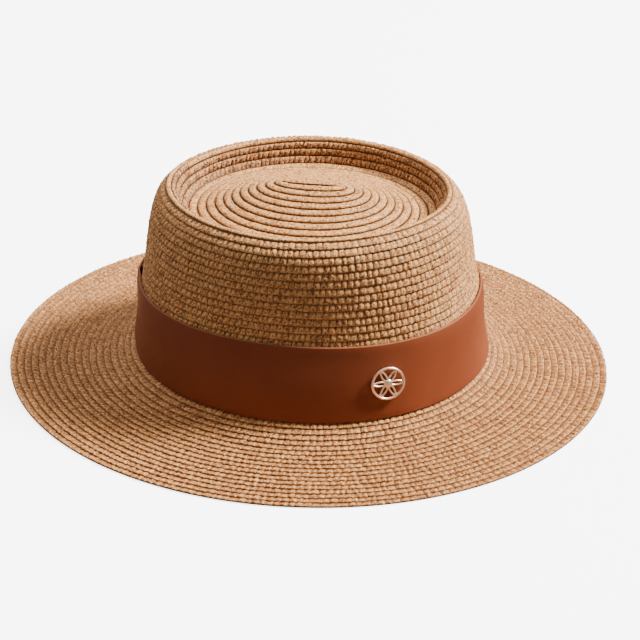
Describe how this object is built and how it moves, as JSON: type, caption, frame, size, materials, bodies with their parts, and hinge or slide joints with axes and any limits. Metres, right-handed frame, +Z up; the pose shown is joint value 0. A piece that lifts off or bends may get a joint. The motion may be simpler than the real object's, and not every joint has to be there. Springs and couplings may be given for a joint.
{
  "type": "sun hat",
  "caption": "Sewn straw sun hat: oval brim, leaning crown with a rolled crest, sunken top and low dome, wide smooth leather band, small round pierced metal badge.",
  "frame": {"origin": "on the floor below the middle of the brim, which rests on its edge row", "axes": "+Z up out of the crown, -Y towards the front of the hat, -X towards the wearer's right side, where the badge is"},
  "size_m": [0.2914, 0.3432, 0.109],
  "materials": {
    "crown_straw": "sewn paper-straw braid, matt",
    "brim_straw": "sewn paper-straw braid, matt",
    "band_leather": "smooth brown leather, satin",
    "badge_metal": "polished pale rose gold plating",
    "pin_metal": "satin plating"
  },
  "bodies": {
    "root": {"crown": "crown_straw", "brim": "brim_straw", "band": "band_leather", "badge": "badge_metal", "badge_pin": "pin_metal"}
  },
  "joints": []
}
